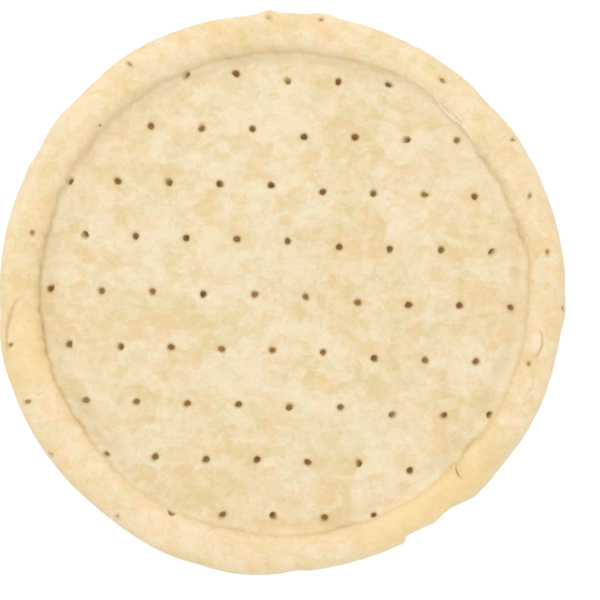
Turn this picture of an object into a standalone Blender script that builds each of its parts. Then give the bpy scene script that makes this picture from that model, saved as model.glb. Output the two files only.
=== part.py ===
"""Pizza crust: one round of pale, docked dough with a rolled rim, made as one solid.

Metres, +Z up. The crust lies flat. Its origin is on the underside, at the middle of its box, with
+X to the right and +Y away from the viewer as the crust is seen from above.

A place on the crust is an angle in degrees, counter-clockwise from +X, and a radius from the middle
of the round. A place on the rim's section is a turn in degrees: 0 is the line nearest the middle of
the crust, 90 the top, 180 the widest outer line and 270 the foot on the underside. Turns below 0
run under the inner line, down to the crease where the rim meets the base.
"""
import math

import bmesh
import bpy
from mathutils import Matrix, Vector

# Driving dimensions
OUTLINE_RADIUS = 0.1522
CREASE_RADIUS = 0.1312      # to the rim's inner line
RIM_HEIGHT = 0.0150
RIM_LINE_HEIGHT = 0.0070    # height of the rim's inner and outer lines
RIM_TUCK = 0.0050           # how far the outer side turns in under its widest line
RIM_FLATNESS = 2.4          # 2 gives an elliptical section, more a flatter top
BASE_HEIGHT = 0.0052
BASE_RIPPLE = 0.0002        # how far the base is uneven
RIPPLE_WAVES = 3            # its waves in a full turn
RIPPLE_TWIST = 60.0         # radians a metre by which they turn with the radius
RIPPLE_RATE = 45.0          # radians a metre of their rise and fall with the radius
CREASE_HEIGHT = 0.0044
CREASE_SLOPE_WIDTH = 0.0110     # the base falls to the crease over this width

# Where the outline swells or draws in: angle, half width in degrees, height
OUTLINE_SWELLS = (
    (17, 28, -0.0003), (43, 8, -0.0009), (68, 49, -0.0010), (82, 4, 0.0013), (93, 3, 0.0014),
    (99, 6, -0.0006), (124, 25, 0.0020), (131, 7, -0.0006), (144, 9, 0.0019), (153, 4, 0.0011),
    (158, 9, 0.0006), (168, 20, 0.0014), (192, 10, 0.0013), (207, 39, 0.0030), (245, 21, 0.0022),
    (262, 12, 0.0016), (272, 4, -0.0007), (292, 45, -0.0024), (325, 16, -0.0013), (348, 19, -0.0013),
    (356, 5, 0.0013),
)
# Where the crease does
CREASE_SWELLS = (
    (9, 11, 0.0020), (38, 18, -0.0010), (78, 22, -0.0005), (145, 45, 0.0009), (185, 35, 0.0012),
    (200, 10, 0.0009), (232, 30, 0.0004), (318, 16, -0.0006), (338, 10, -0.0004),
)
# Where the rim stands higher or lower
HEIGHT_SWELLS = (
    (46, 16, -0.0010), (110, 30, 0.0004), (160, 24, -0.0004), (192, 16, 0.0005), (250, 30, 0.0004),
    (300, 16, -0.0008), (345, 14, 0.0003),
)
# Two bites out of the rim's outer side: first and last angle, depth where the bite starts, and the
# degrees over which it drops to that depth
RIM_BITES = ((295.7, 307.0, 0.0032, 1.3), (302.4, 313.0, 0.0048, 5.9))
BITE_FADE = 4               # power by which a bite fades across the rim, from its outer side in

# Blisters on the rim: angle, radius, half length along the rim, half width across it, height
BLISTERS = (
    (187.5, 0.1425, 0.017, 0.0062, 0.0011),
    (196.5, 0.1410, 0.014, 0.0066, 0.0013),
    (348.5, 0.1385, 0.0066, 0.0032, 0.0010),
    (317.0, 0.1390, 0.018, 0.0070, 0.0007),
)

# Docking holes, on slanting rows that step down once where the two halves of the pattern meet
HOLE_ROWS = range(-5, 5)
HOLE_COLUMNS = range(-5, 7)
HOLE_ORIGIN = (-0.0158, -0.0009)
COLUMN_STEP = (0.0276, -0.0008)
ROW_STEP = (0.0095, -0.0302)
SEAM_STEP = (0.0004, -0.0028)
SEAM_COLUMN = 2             # first column past the seam
HOLE_MARGIN = 0.988         # holes reach out to this share of the outline's radius
HOLE_JITTER = 0.0003
JITTER_TURNS = (12.9898, 78.233)    # radians that a column and a row turn a hole's jitter by
JITTER_SKEW = 1.7           # ratio of the jitter's turn along Y to its turn along X
# How far rolling the rim moved its holes outwards: share of the rim's width where it moved them most,
# half width of that stretch as a share, and how far
HOLE_DRAGS = ((0.13, 0.36, -0.0014), (0.65, 0.24, 0.0028))
CREASE_CLEARANCE = 0.0006       # holes in the base keep their middles this far inside the crease
CREASE_OVERLAP = 0.0007         # past the crease by more than this, a hole is in the rim
HOLE_RADIUS = 0.0020
HOLE_FLOOR = 0.0010         # dough that is left under every hole in the base
HOLE_TAPER = 0.45           # share of a hole's radius that is left at its foot
RIM_HOLE_RADIUS = 0.0017
RIM_HOLE_DEPTH = 0.0034
SLIT_HOLE = (3, 3)          # column and row of the hole that the rolled rim pinched into a slit
SLIT_WIDTH = 0.32           # its width and length, as shares of another rim hole's
SLIT_LENGTH = 2.2
SLIT_LEAN = -24.0           # degrees between the slit and the radius through it
SLIT_SHIFT = (-0.8, -0.0013)    # degrees round the crust and metres outwards that it was pushed
CLOSED_HOLE = (-2, -3)      # column and row of the hole that the rolled rim nearly closed
CLOSED_SHARE = 0.5          # its size, as a share of another rim hole's
PIN_SIDES = 8
PIN_REACH = 0.0010          # how far a cutting pin stands clear of what it cuts

# The fold of skin along the crease, from its first angle to its last
FOLD_ANGLES = (51.0, 39.0)
FOLD_TURN = 34.0            # how far round the rim's section it climbs, half way along
FOLD_RADIUS = 0.0011
FOLD_TIP = 0.3              # its thickness at both ends, as a share of that radius
FOLD_STEPS = 12
FOLD_SIDES = 8

# Mesh fineness
COARSE_STEP = 3.0           # degrees between columns
FINE_STEP = 1.0
FINE_STRETCHES = ((294.0, 315.0),)
DISC_STEP = 7.5
INNER_BASE_RINGS = (0.25, 0.5, 0.75)    # as shares of the crease's radius
OUTER_BASE_RINGS = (0.9, 0.96)
UNDERCUT_TURN = -8.0        # the rim's inner side, between the crease and the inner line
RIM_TURNS = (2, 22, 40, 58, 75, 92, 110, 128, 145, 162, 180, 205, 232, 270)
UNDERSIDE_RINGS = (0.85, 0.6, 0.3)      # as shares of the foot's radius
SAME_ANGLE = 1e-6           # degrees within which two columns meet
SMOOTH_ANGLE = 40.0

DOUGH_COLOUR = (0.86, 0.72, 0.47, 1.0)
DOUGH_ROUGHNESS = 0.75


def eased(share):
    """Smooth step from 0 to 1."""
    share = min(1.0, max(0.0, share))
    return share * share * (3.0 - 2.0 * share)


def swell_at(angle, swells):
    """Sum at this angle of smooth swells, each of them zero beyond its half width."""
    total = 0.0
    for centre, half_width, height in swells:
        offset = abs((angle - centre + 180.0) % 360.0 - 180.0)
        if offset < half_width:
            total += height * 0.5 * (1.0 + math.cos(math.pi * offset / half_width))
    return total


def bite_at(angle):
    """Depth of the bites: each drops in over a short edge and fades out along its length."""
    depth = 0.0
    for start, end, full_depth, edge in RIM_BITES:
        if start < angle < end:
            along = (angle - start) / (end - start)
            depth += full_depth * eased((angle - start) / edge) * (1.0 - along ** 2)
    return depth


def round_radius(angle):
    """Radius of the outline before the bites are taken out of it."""
    return OUTLINE_RADIUS + swell_at(angle, OUTLINE_SWELLS)


def outline_radius(angle):
    return round_radius(angle) - bite_at(angle)


def crease_radius(angle):
    return CREASE_RADIUS + swell_at(angle, CREASE_SWELLS)


def box_middle():
    """Middle of the outline's box, which becomes the origin."""
    angles = column_angles()
    xs = [outline_radius(a) * math.cos(math.radians(a)) for a in angles]
    ys = [outline_radius(a) * math.sin(math.radians(a)) for a in angles]
    return (min(xs) + max(xs)) / 2.0, (min(ys) + max(ys)) / 2.0


def column_angles():
    """Angles of the rim's columns, closer together where the outline turns sharply."""
    angles = []
    angle = 0.0
    while angle < 360.0:
        angles.append(angle)
        fine = any(start <= angle < end for start, end in FINE_STRETCHES)
        angle += FINE_STEP if fine else COARSE_STEP
    return angles


def disc_angles():
    return [i * DISC_STEP for i in range(round(360.0 / DISC_STEP))]


def place(angle, radius, height):
    """Point of the model at an angle, a radius and a height."""
    middle_x, middle_y = MIDDLE
    x = radius * math.cos(math.radians(angle))
    y = radius * math.sin(math.radians(angle))
    return Vector((x - middle_x, y - middle_y, height))


def flattened(value):
    """Power that squares an ellipse's sine or cosine out into the rim's fuller section."""
    return math.copysign(abs(value) ** (2.0 / RIM_FLATNESS), value)


def blister_lift(angle, radius):
    """How far the blisters push the rim's skin out."""
    lift = 0.0
    for centre, middle, half_length, half_width, height in BLISTERS:
        offset = (angle - centre + 180.0) % 360.0 - 180.0
        along = math.radians(offset) * middle / half_length
        across = (radius - middle) / half_width
        reach = along * along + across * across
        if reach < 1.0:
            lift += height * (1.0 - reach) * (1.0 - reach)
    return lift


def rim_point(angle, turn):
    """Radius and height of the rim's section at a turn, and the slope of its outward normal."""
    out = -math.cos(math.radians(turn))
    up = math.sin(math.radians(turn))
    if turn > 180.0:
        radius = outline_radius(angle) - RIM_TUCK * (1.0 - out)
        return radius, RIM_LINE_HEIGHT * (1.0 + up), (out, up)
    inner = crease_radius(angle)
    half_width = (round_radius(angle) - inner) / 2.0
    top = RIM_HEIGHT + swell_at(angle, HEIGHT_SWELLS)
    half_height = top - RIM_LINE_HEIGHT if up > 0.0 else RIM_LINE_HEIGHT
    share = (1.0 + flattened(out)) / 2.0
    radius = inner + 2.0 * half_width * share - bite_at(angle) * share ** BITE_FADE
    height = RIM_LINE_HEIGHT + half_height * flattened(up)
    normal = Vector((out * half_height, up * half_width)).normalized()
    lift = blister_lift(angle, radius)
    return radius + lift * normal.x, height + lift * normal.y, (normal.x, normal.y)


def crease_turn():
    """Turn at which the rim's inner side comes down to the crease."""
    share = (RIM_LINE_HEIGHT - CREASE_HEIGHT) / RIM_LINE_HEIGHT
    return -math.degrees(math.asin(share ** (RIM_FLATNESS / 2.0)))


def turn_at(angle, radius):
    """Turn of the rim's upper side at a radius."""
    inner = crease_radius(angle)
    outer = round_radius(angle)
    out = min(1.0, max(-1.0, 2.0 * (radius - inner) / (outer - inner) - 1.0))
    return math.degrees(math.acos(-math.copysign(abs(out) ** (RIM_FLATNESS / 2.0), out)))


def base_height(angle, radius):
    """Height of the base: nearly flat, a little uneven, and falling to the crease."""
    slope = eased((crease_radius(angle) - radius) / CREASE_SLOPE_WIDTH)
    around = RIPPLE_WAVES * math.radians(angle) + RIPPLE_TWIST * radius
    ripple = math.sin(around) * math.sin(RIPPLE_RATE * radius)
    return CREASE_HEIGHT + (BASE_HEIGHT + BASE_RIPPLE * ripple - CREASE_HEIGHT) * slope


def add_ring(bm, angles, point_at):
    """Ring of vertices, as (angle, vertex) pairs; point_at gives a radius and height for an angle."""
    return [(angle, bm.verts.new(place(angle, *point_at(angle)[:2]))) for angle in angles]


def stitch(bm, ring, next_ring):
    """Fill between two rings that may differ in count, by walking round both at once."""
    i = 0
    j = 0
    while i < len(ring) or j < len(next_ring):
        here = ring[i % len(ring)][1]
        there = next_ring[j % len(next_ring)][1]
        here_next = ring[(i + 1) % len(ring)][1]
        there_next = next_ring[(j + 1) % len(next_ring)][1]
        angle = ring[i + 1][0] if i + 1 < len(ring) else 360.0
        next_angle = next_ring[j + 1][0] if j + 1 < len(next_ring) else 360.0
        if i < len(ring) and j < len(next_ring) and abs(angle - next_angle) < SAME_ANGLE:
            bm.faces.new((here, there, there_next, here_next))
            i += 1
            j += 1
        elif j >= len(next_ring) or (i < len(ring) and angle < next_angle):
            bm.faces.new((here, there, here_next))
            i += 1
        else:
            bm.faces.new((here, there, there_next))
            j += 1


def make_object(name, bm, smooth=True):
    mesh = bpy.data.meshes.new(name)
    bm.to_mesh(mesh)
    bm.free()
    if smooth:
        mesh.shade_smooth()
        mesh.set_sharp_from_angle(angle=math.radians(SMOOTH_ANGLE))
    thing = bpy.data.objects.new(name, mesh)
    bpy.context.scene.collection.objects.link(thing)
    return thing


def make_body():
    """The round before docking: rings from the middle of the top, over the rim, to the middle below."""
    bm = bmesh.new()
    columns = column_angles()
    spokes = disc_angles()

    def on_base(share):
        return lambda a: (crease_radius(a) * share, base_height(a, crease_radius(a) * share))

    def on_rim(turn):
        return lambda a: rim_point(a, turn)

    def underneath(share):
        return lambda a: ((outline_radius(a) - RIM_TUCK) * share, 0.0)

    turns = (crease_turn(), UNDERCUT_TURN) + RIM_TURNS
    rings = [add_ring(bm, spokes, on_base(share)) for share in INNER_BASE_RINGS]
    rings += [add_ring(bm, columns, on_base(share)) for share in OUTER_BASE_RINGS]
    rings += [add_ring(bm, columns, on_rim(turn)) for turn in turns]
    rings += [add_ring(bm, spokes, underneath(share)) for share in UNDERSIDE_RINGS]
    for ring, next_ring in zip(rings, rings[1:]):
        stitch(bm, ring, next_ring)
    for ring, flip in ((rings[0], False), (rings[-1], True)):
        hub = bm.verts.new(place(0.0, 0.0, BASE_HEIGHT if not flip else 0.0))
        for (_, vert), (_, next_vert) in zip(ring, ring[1:] + ring[:1]):
            bm.faces.new((hub, next_vert, vert) if flip else (hub, vert, next_vert))
    bmesh.ops.triangulate(bm, faces=bm.faces[:])
    return make_object("crust", bm)


def dragged_radius(angle, radius):
    """Radius of a hole after the rim was rolled."""
    crease = crease_radius(angle)
    share = (radius - crease) / (round_radius(angle) - crease)
    for middle, half_width, drag in HOLE_DRAGS:
        offset = abs(share - middle)
        if offset < half_width:
            radius += drag * 0.5 * (1.0 + math.cos(math.pi * offset / half_width))
    return radius


def hole_places():
    """Angle and radius of every docking hole, with its column and row."""
    for row in HOLE_ROWS:
        for column in HOLE_COLUMNS:
            seam = 1 if column >= SEAM_COLUMN else 0
            wander = JITTER_TURNS[0] * column + JITTER_TURNS[1] * row
            x = HOLE_ORIGIN[0] + column * COLUMN_STEP[0] + row * ROW_STEP[0] + seam * SEAM_STEP[0]
            y = HOLE_ORIGIN[1] + column * COLUMN_STEP[1] + row * ROW_STEP[1] + seam * SEAM_STEP[1]
            x += HOLE_JITTER * math.sin(wander)
            y += HOLE_JITTER * math.cos(JITTER_SKEW * wander)
            angle = math.degrees(math.atan2(y, x)) % 360.0
            radius = math.hypot(x, y)
            if radius < HOLE_MARGIN * outline_radius(angle):
                radius = dragged_radius(angle, radius)
                if (column, row) == SLIT_HOLE:
                    angle += SLIT_SHIFT[0]
                    radius += SLIT_SHIFT[1]
                yield angle, radius, (column, row)


def add_pin(bm, mouth, direction, radius, depth, squeeze=Matrix.Identity(4)):
    """Tapered pin that makes a hole of this radius at its mouth and this depth below it."""
    flare = radius * (1.0 - HOLE_TAPER) / depth
    turn = direction.to_track_quat("Z", "Y").to_matrix().to_4x4()
    middle = Matrix.Translation(mouth + direction * (PIN_REACH - depth) / 2.0)
    bmesh.ops.create_cone(bm, cap_ends=True, segments=PIN_SIDES, radius1=radius * HOLE_TAPER,
                          radius2=radius + flare * PIN_REACH, depth=depth + PIN_REACH,
                          matrix=middle @ turn @ squeeze)


def add_base_pin(bm, angle, radius):
    """Pin straight down into the base, as deep as the floor left under it allows."""
    radius = min(radius, crease_radius(angle) - CREASE_CLEARANCE)
    height = base_height(angle, radius)
    add_pin(bm, place(angle, radius, height), Vector((0.0, 0.0, 1.0)), HOLE_RADIUS,
            height - HOLE_FLOOR)


def add_rim_pin(bm, angle, radius, hole):
    """Pin into the rim, square to its skin, or straight down and squeezed for the slit."""
    size = CLOSED_SHARE if hole == CLOSED_HOLE else 1.0
    radius, height, (out, up) = rim_point(angle, turn_at(angle, radius))
    around = math.radians(angle)
    direction = Vector((out * math.cos(around), out * math.sin(around), up))
    squeeze = Matrix.Identity(4)
    if hole == SLIT_HOLE:
        direction = Vector((0.0, 0.0, 1.0))
        lean = Matrix.Rotation(around + math.radians(SLIT_LEAN), 4, "Z")
        squeeze = lean @ Matrix.Diagonal((SLIT_LENGTH, SLIT_WIDTH, 1.0, 1.0))
    add_pin(bm, place(angle, radius, height), direction, RIM_HOLE_RADIUS * size,
            RIM_HOLE_DEPTH * size, squeeze)


def make_pins():
    """Every docking pin, as one cutter."""
    bm = bmesh.new()
    for angle, radius, hole in hole_places():
        if radius > crease_radius(angle) + CREASE_OVERLAP:
            add_rim_pin(bm, angle, radius, hole)
        else:
            add_base_pin(bm, angle, radius)
    return make_object("docking_pins", bm, smooth=False)


def make_fold():
    """Fold of skin along the crease: a thin roll that tapers out at both ends."""
    bm = bmesh.new()
    rings = []
    for step in range(FOLD_STEPS + 1):
        share = step / FOLD_STEPS
        angle = FOLD_ANGLES[0] + (FOLD_ANGLES[1] - FOLD_ANGLES[0]) * share
        arch = math.sin(math.pi * share)
        thickness = FOLD_RADIUS * (FOLD_TIP + (1.0 - FOLD_TIP) * arch)
        radius, height, _ = rim_point(angle, crease_turn() + (FOLD_TURN - crease_turn()) * arch)
        ring = []
        for side in range(FOLD_SIDES):
            around = 2.0 * math.pi * side / FOLD_SIDES
            ring.append(bm.verts.new(place(angle, radius + thickness * math.cos(around),
                                           height + thickness * math.sin(around))))
        rings.append(ring)
    for ring, next_ring in zip(rings, rings[1:]):
        for side in range(FOLD_SIDES):
            after = (side + 1) % FOLD_SIDES
            bm.faces.new((ring[side], ring[after], next_ring[after], next_ring[side]))
    bm.faces.new(rings[0][::-1])
    bm.faces.new(rings[-1])
    bmesh.ops.recalc_face_normals(bm, faces=bm.faces[:])
    return make_object("crease_fold", bm, smooth=False)


def combine(target, operation, tool):
    """Boolean of a wire-drawn tool with the target."""
    tool.hide_render = True
    tool.display_type = "WIRE"
    modifier = target.modifiers.new(tool.name, "BOOLEAN")
    modifier.operation = operation
    modifier.object = tool


def make_dough():
    dough = bpy.data.materials.new("dough")
    dough.use_nodes = True
    shader = dough.node_tree.nodes["Principled BSDF"]
    shader.inputs["Base Color"].default_value = DOUGH_COLOUR
    shader.inputs["Roughness"].default_value = DOUGH_ROUGHNESS
    shader.inputs["Metallic"].default_value = 0.0
    return dough


for thing in list(bpy.data.objects):
    bpy.data.objects.remove(thing, do_unlink=True)

MIDDLE = box_middle()
crust = make_body()
crust.data.materials.append(make_dough())
combine(crust, "UNION", make_fold())
combine(crust, "DIFFERENCE", make_pins())
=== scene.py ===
import math
import random

import bpy
import numpy as np
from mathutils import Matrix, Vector, noise
from mathutils.geometry import delaunay_2d_cdt


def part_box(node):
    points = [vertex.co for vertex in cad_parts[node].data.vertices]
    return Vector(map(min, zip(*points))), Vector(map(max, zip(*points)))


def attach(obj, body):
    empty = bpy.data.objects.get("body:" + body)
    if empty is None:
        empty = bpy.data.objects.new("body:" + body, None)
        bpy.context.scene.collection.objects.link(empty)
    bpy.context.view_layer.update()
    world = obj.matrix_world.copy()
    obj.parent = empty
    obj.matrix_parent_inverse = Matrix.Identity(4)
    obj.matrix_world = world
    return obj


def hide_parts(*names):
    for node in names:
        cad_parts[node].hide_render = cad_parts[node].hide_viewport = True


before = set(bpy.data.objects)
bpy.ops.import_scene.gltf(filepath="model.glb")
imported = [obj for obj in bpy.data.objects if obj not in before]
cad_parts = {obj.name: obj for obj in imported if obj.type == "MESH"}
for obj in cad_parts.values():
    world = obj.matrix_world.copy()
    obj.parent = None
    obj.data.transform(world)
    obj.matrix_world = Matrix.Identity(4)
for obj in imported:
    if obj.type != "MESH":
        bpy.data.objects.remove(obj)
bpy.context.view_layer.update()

# The crust's shape, in metres and degrees. A place is an angle, counter-clockwise from +X, and a
# radius from the middle of the round. A place on the rim's section is a turn: 0 is the line nearest
# the middle of the crust, 90 the top, 180 the widest outer line and 270 the foot on the underside.
OUTLINE_RADIUS = 0.1522
CREASE_RADIUS = 0.1312      # to the rim's inner line
RIM_HEIGHT = 0.0150
RIM_LINE_HEIGHT = 0.0070    # height of the rim's inner and outer lines
RIM_TUCK = 0.0050           # how far the outer side turns in under its widest line
RIM_FLATNESS = 2.4          # 2 gives an elliptical section, more a flatter top
BASE_HEIGHT = 0.0052
BASE_RIPPLE = 0.0002        # how far the base is uneven
RIPPLE_WAVES = 3            # its waves in a full turn
RIPPLE_TWIST = 60.0         # radians a metre by which they turn with the radius
RIPPLE_RATE = 45.0          # radians a metre of their rise and fall with the radius
CREASE_HEIGHT = 0.0044
CREASE_SLOPE_WIDTH = 0.0110     # the base falls to the crease over this width

# Where the outline swells or draws in: angle, half width in degrees, height
OUTLINE_SWELLS = (
    (17, 28, -0.0003), (43, 8, -0.0009), (68, 49, -0.0010), (82, 4, 0.0013), (93, 3, 0.0014),
    (99, 6, -0.0006), (124, 25, 0.0020), (131, 7, -0.0006), (144, 9, 0.0019), (153, 4, 0.0011),
    (158, 9, 0.0006), (168, 20, 0.0014), (192, 10, 0.0013), (207, 39, 0.0030), (245, 21, 0.0022),
    (262, 12, 0.0016), (272, 4, -0.0007), (292, 45, -0.0024), (325, 16, -0.0013), (348, 19, -0.0013),
    (356, 5, 0.0013),
)
# Where the crease does
CREASE_SWELLS = (
    (9, 11, 0.0020), (38, 18, -0.0010), (78, 22, -0.0005), (145, 45, 0.0009), (185, 35, 0.0012),
    (200, 10, 0.0009), (232, 30, 0.0004), (318, 16, -0.0006), (338, 10, -0.0004),
)
# Where the rim stands higher or lower
HEIGHT_SWELLS = (
    (46, 16, -0.0010), (110, 30, 0.0004), (160, 24, -0.0004), (192, 16, 0.0005), (250, 30, 0.0004),
    (300, 16, -0.0008), (345, 14, 0.0003),
)
# Two bites out of the rim's outer side: first and last angle, depth where the bite starts, and the
# degrees over which it drops to that depth
RIM_BITES = ((295.7, 307.0, 0.0032, 1.3), (302.4, 313.0, 0.0048, 5.9))
BITE_FADE = 4               # power by which a bite fades across the rim, from its outer side in

# Blisters on the rim: angle, radius, half length along the rim, half width across it, height
BLISTERS = (
    (187.5, 0.1425, 0.017, 0.0062, 0.0011),
    (196.5, 0.1410, 0.014, 0.0066, 0.0013),
    (348.5, 0.1385, 0.0066, 0.0032, 0.0010),
    (317.0, 0.1390, 0.018, 0.0070, 0.0007),
)

# Docking holes, on slanting rows that step down once where the two halves of the pattern meet
HOLE_ROWS = range(-5, 5)
HOLE_COLUMNS = range(-5, 7)
HOLE_ORIGIN = (-0.0158, -0.0009)
COLUMN_STEP = (0.0276, -0.0008)
ROW_STEP = (0.0095, -0.0302)
SEAM_STEP = (0.0004, -0.0028)
SEAM_COLUMN = 2             # first column past the seam
HOLE_MARGIN = 0.988         # holes reach out to this share of the outline's radius
HOLE_JITTER = 0.0003
JITTER_TURNS = (12.9898, 78.233)    # radians that a column and a row turn a hole's jitter by
JITTER_SKEW = 1.7           # ratio of the jitter's turn along Y to its turn along X
# How far rolling the rim moved its holes outwards: share of the rim's width where it moved them most,
# half width of that stretch as a share, and how far
HOLE_DRAGS = ((0.13, 0.36, -0.0014), (0.65, 0.24, 0.0028))
CREASE_CLEARANCE = 0.0006       # holes in the base keep their middles this far inside the crease
CREASE_OVERLAP = 0.0007         # past the crease by more than this, a hole is in the rim
HOLE_RADIUS = 0.0020
HOLE_FLOOR = 0.0010         # dough that is left under every hole in the base
RIM_HOLE_RADIUS = 0.0017
RIM_HOLE_DEPTH = 0.0034
SLIT_HOLE = (3, 3)          # column and row of the hole that the rolled rim pinched into a slit
SLIT_WIDTH = 0.32           # its width and length, as shares of another rim hole's
SLIT_LENGTH = 2.2
SLIT_LEAN = -24.0           # degrees between the slit and the radius through it
SLIT_SHIFT = (-0.8, -0.0013)    # degrees round the crust and metres outwards that it was pushed
SLIT_BOW = 55.0             # how much the slit curves, as one over metres
CLOSED_HOLE = (-2, -3)      # column and row of the hole that the rolled rim nearly closed
CLOSED_SHARE = 0.5          # its size, as a share of another rim hole's

# What the surface adds to the solid's form. A swell or share with a half width of 720 degrees is
# nearly even all round the crust.
CREASE_WANDERS = (          # waves in a full turn, their height and phase
    (41, 0.00030, 2.2), (67, 0.00034, 0.5), (103, 0.00030, 4.0), (149, 0.00016, 1.1),
)
RAGGED_STRETCHES = (        # where the crease wanders so: angle, half width, share
    (28, 32, 1.0), (104, 34, 0.7), (160, 30, 1.0), (191, 16, 0.9), (222, 26, 0.5), (262, 20, 0.6),
    (318, 14, 0.9), (350, 20, 0.6),
)
CALM_SHARE = 0.2            # share of the wander that the crease has elsewhere
OUTLINE_WANDERS = ((31, 0.00005, 0.4), (53, 0.00005, 3.1), (89, 0.00004, 1.9))
OVERHANGS = (               # where the rim leans over the crease: angle, half width, reach
    (75, 14, 0.0003), (112, 30, 0.0004), (168, 18, 0.0003), (198, 24, 0.0008), (281, 16, 0.0006),
    (317, 12, 0.0006),
)
OVERHANG_TURNS = (-17.0, 70.0)      # first and last turn of the section that leans
SHARP_STRETCHES = (         # where the crease is sharp, with a painted shadow line: angle, half width, share
    (14.5, 5, 0.7), (22, 6, 0.4), (33, 7, 0.6), (93, 8, 0.5), (102, 7, 0.9), (115, 8, 0.3),
    (128, 10, 0.5), (143, 5, 0.4), (165, 9, 0.6), (176, 9, 0.7), (190, 15, 1.0), (203, 8, 0.4),
    (213, 7, 0.8), (238, 6, 0.3), (258, 12, 0.4), (285, 8, 0.6), (313.5, 4, 0.6), (320.5, 6, 0.8),
)
SHARPEST = 0.75             # share of the crease's rounding that its sharpest stretches lose
FILLET_REACH = 0.0048       # skin to each side of the crease that is rounded where it isn't sharp
FILLET_SWELLS = (           # where more of it is: angle, half width, how much more
    (2, 20, 0.0014), (60, 25, 0.0038), (240, 20, 0.0008), (340, 24, 0.0022),
)

# Painted light and shade that isn't in the form, and the rim's colour: widths along the skin, and
# shares of a colour at each angle
# half width of the painted shadow line along the sharp crease
CREASE_SHADOW_WIDTH = 0.0017
CREASE_FILL_LIGHT = (            # painted fill light: how much the skin pales towards the crease, lifting its shade
    (0, 720, 0.33), (45, 30, 0.67), (116, 44, 0.60), (190, 50, -0.4), (345, 24, 0.1),
)
FILL_LIGHT_WIDTHS = (0.0040, 0.0076)    # of that painted fill light, on the base and on the rim
CREASE_SHADE_BANDS = (            # painted shade: how much the base darkens beside the crease
    (0, 720, 0.85), (50, 20, -0.25), (75, 25, -0.2), (115, 40, -0.3), (172, 30, 0.5), (212, 34, 0.8),
    (240, 20, 0.2), (338, 24, 0.25),
)
SHADE_BAND_INSET = 0.0058         # from the crease to where the painted shade is darkest
SHADE_BAND_WIDTH = 0.0050
RIM_COLOUR_FADE = 0.0045    # skin above the crease on which the base's colour turns into the rim's
PALE_AND_LIT_SIDES = (              # how much the rim pales towards its widest outer line, as paler floury dough and as painted light
    (0, 720, 0.26), (255, 20, -0.25), (300, 46, 0.60), (345, 36, 0.25), (20, 30, 0.15),
)
SIDE_WIDTH = 0.0120         # skin above that line on which it pales

# Lines on the skin: places as (angle, radius), depth of the groove, its half width, height of the
# ridge beside it and the ridge's distance, to the left of the line's direction when positive
LINES = (
    (((53.4, 0.1378), (52.0, 0.1338), (50.3, 0.1320), (48.3, 0.1315), (46.0, 0.1319), (43.8, 0.1327),
      (41.8, 0.1332), (40.2, 0.1321), (38.6, 0.1311)), 0.0005, 0.0006, 0.0011, -0.0009),
    (((47.2, 0.1352), (45.0, 0.1341), (43.2, 0.1331), (41.3, 0.1319), (39.9, 0.1309)),
     0.0004, 0.0005, 0.0009, -0.0008),
    (((38.9, 0.1307), (36.6, 0.1305), (33.9, 0.1307)), 0.0003, 0.0004, 0.0004, -0.0006),
    (((180.4, 0.1385), (181.4, 0.1424), (183.7, 0.1460), (186.9, 0.1492), (190.1, 0.1510),
      (193.0, 0.1520)), 0.0009, 0.0015, 0.0003, 0.0020),
    (((201.5, 0.1450), (202.6, 0.1418), (202.0, 0.1380)), 0.0004, 0.0007, 0.0, 0.0),
    (((351.8, 0.1365), (351.2, 0.1396), (348.8, 0.1411), (346.2, 0.1400), (345.4, 0.1372)),
     0.0008, 0.0008, 0.0, 0.0),
    (((333.2, 0.1405), (335.1, 0.1421), (337.0, 0.1408), (339.2, 0.1424), (341.8, 0.1411)),
     0.0005, 0.0005, 0.0001, 0.0007),
    (((15.5, 0.1340), (15.9, 0.1400), (15.2, 0.1472)), 0.0003, 0.0005, 0.0003, 0.0009),
    (((257.2, 0.1432), (257.9, 0.1490)), 0.0004, 0.0005, 0.0, 0.0),
    (((109.9, 0.1302), (109.4, 0.1345), (109.2, 0.1392)), 0.0003, 0.0006, 0.0, 0.0),
)
# The clearest patches of colour: angle, radius, half length round the crust, half width across, and
# how tan it is, or how pale when negative
PATCHES = (
    (349.3, 0.1379, 0.0060, 0.0040, -1.0), (7.4, 0.1459, 0.0055, 0.0045, -0.5),
    (322.0, 0.1414, 0.0130, 0.0080, 0.8), (306.9, 0.1390, 0.0080, 0.0060, 0.4),
    (176.7, 0.1406, 0.0075, 0.0070, 0.6), (163.3, 0.1443, 0.0045, 0.0045, 0.6),
    (12.2, 0.1397, 0.0040, 0.0032, 0.8), (61.0, 0.1433, 0.0028, 0.0028, 0.8),
    (80.1, 0.1393, 0.0030, 0.0034, 0.7), (88.0, 0.0394, 0.0054, 0.0038, 0.9),
    (130.9, 0.0384, 0.0085, 0.0085, 0.4), (150.9, 0.0597, 0.0062, 0.0060, 0.6),
)
PATCH_FADE = 0.35           # share of a patch over which its edge fades
# Lobes of a patch's edge, their height as a share, and how far they turn with the patch's angle
PATCH_WOBBLES = ((3.0, 0.12, 1.0), (5.0, 0.08, 0.0))
RIDGE_WIDTH = 1.7           # half width of a ridge over its groove's
LINE_REACH = 4.0            # half widths of a line past which it moves the skin no more
CREST_HEIGHT = 0.0008       # ridge height that gives the full painted highlight on a ridge, and the full painted shade in a groove
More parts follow.
